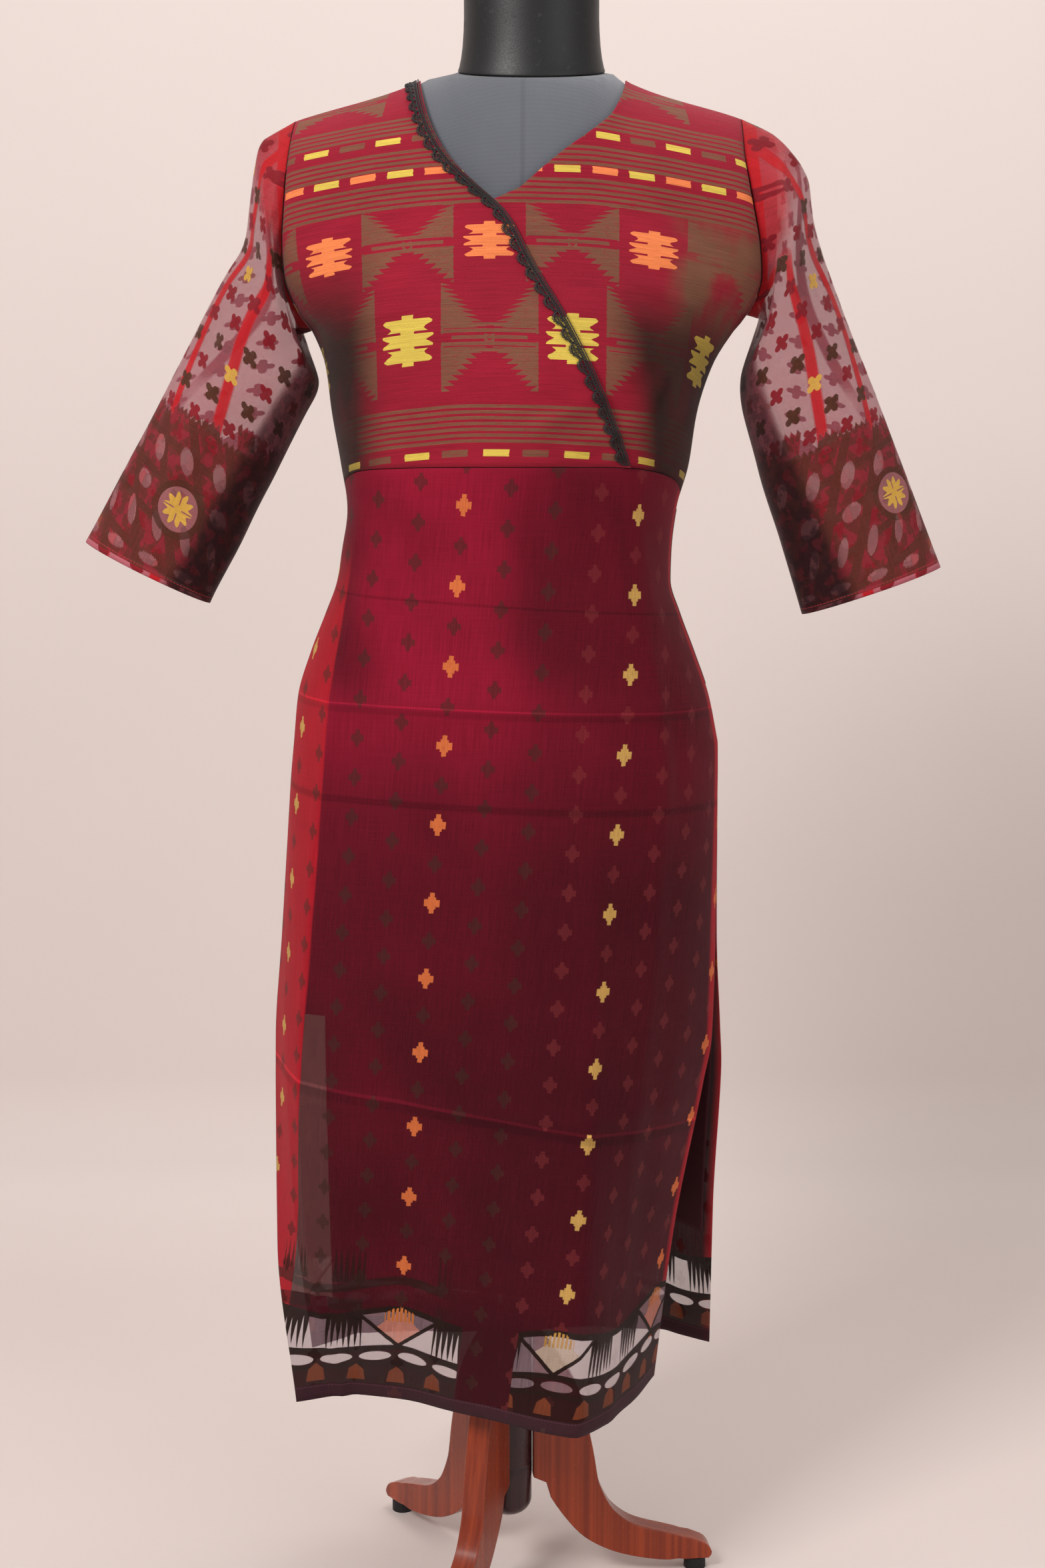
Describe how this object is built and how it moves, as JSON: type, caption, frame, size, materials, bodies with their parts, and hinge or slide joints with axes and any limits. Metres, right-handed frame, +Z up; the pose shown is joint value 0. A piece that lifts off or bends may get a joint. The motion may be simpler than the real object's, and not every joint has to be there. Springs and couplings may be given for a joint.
{
  "type": "kurta tunic on dress form",
  "caption": "Long tunic with a crossed front, lace-edged neck, sheer hollow three-quarter sleeves and side slits, standing on a limbless dress form with a three-legged stand.",
  "frame": {"origin": "centre of the object's outer box in plan, on the floor that its feet stand on", "axes": "+Z up, -Y to the front of the garment, +X to the picture's right"},
  "size_m": [0.7265, 0.3316, 1.4009],
  "materials": {
    "bodice_cloth": "matte woven cotton silk with woven-in motifs",
    "skirt_cloth": "sheer woven cotton silk over a lining",
    "sleeve_cloth": "sheer woven cotton silk",
    "lining_cloth": "matte plain weave",
    "lace": "matte crochet cotton",
    "form_jersey": "matte fine jersey",
    "form_black": "matte",
    "pole_metal": "satin",
    "hub_wood": "dark stain, satin lacquer",
    "leg_wood": "red-brown stain, satin lacquer",
    "pad_rubber": "matte"
  },
  "bodies": {
    "root": {"front_over_panel": "bodice_cloth", "front_under_panel": "bodice_cloth", "bodice_back": "bodice_cloth", "skirt_front": "skirt_cloth", "skirt_back": "skirt_cloth", "lining_front": "lining_cloth", "lining_back": "lining_cloth", "sleeve_left": "sleeve_cloth", "sleeve_right": "sleeve_cloth", "lace_trim": "lace", "form_bust": "form_jersey", "form_hips": "form_black", "form_neck": "form_black", "form_arm_plate_left": "form_black", "form_arm_plate_right": "form_black", "stand_pole": "pole_metal", "stand_hub": "hub_wood", "stand_leg_back_left": "leg_wood", "stand_leg_right": "leg_wood", "stand_leg_front": "leg_wood", "foot_pad_back_left": "pad_rubber", "foot_pad_right": "pad_rubber", "foot_pad_front": "pad_rubber"}
  },
  "joints": []
}
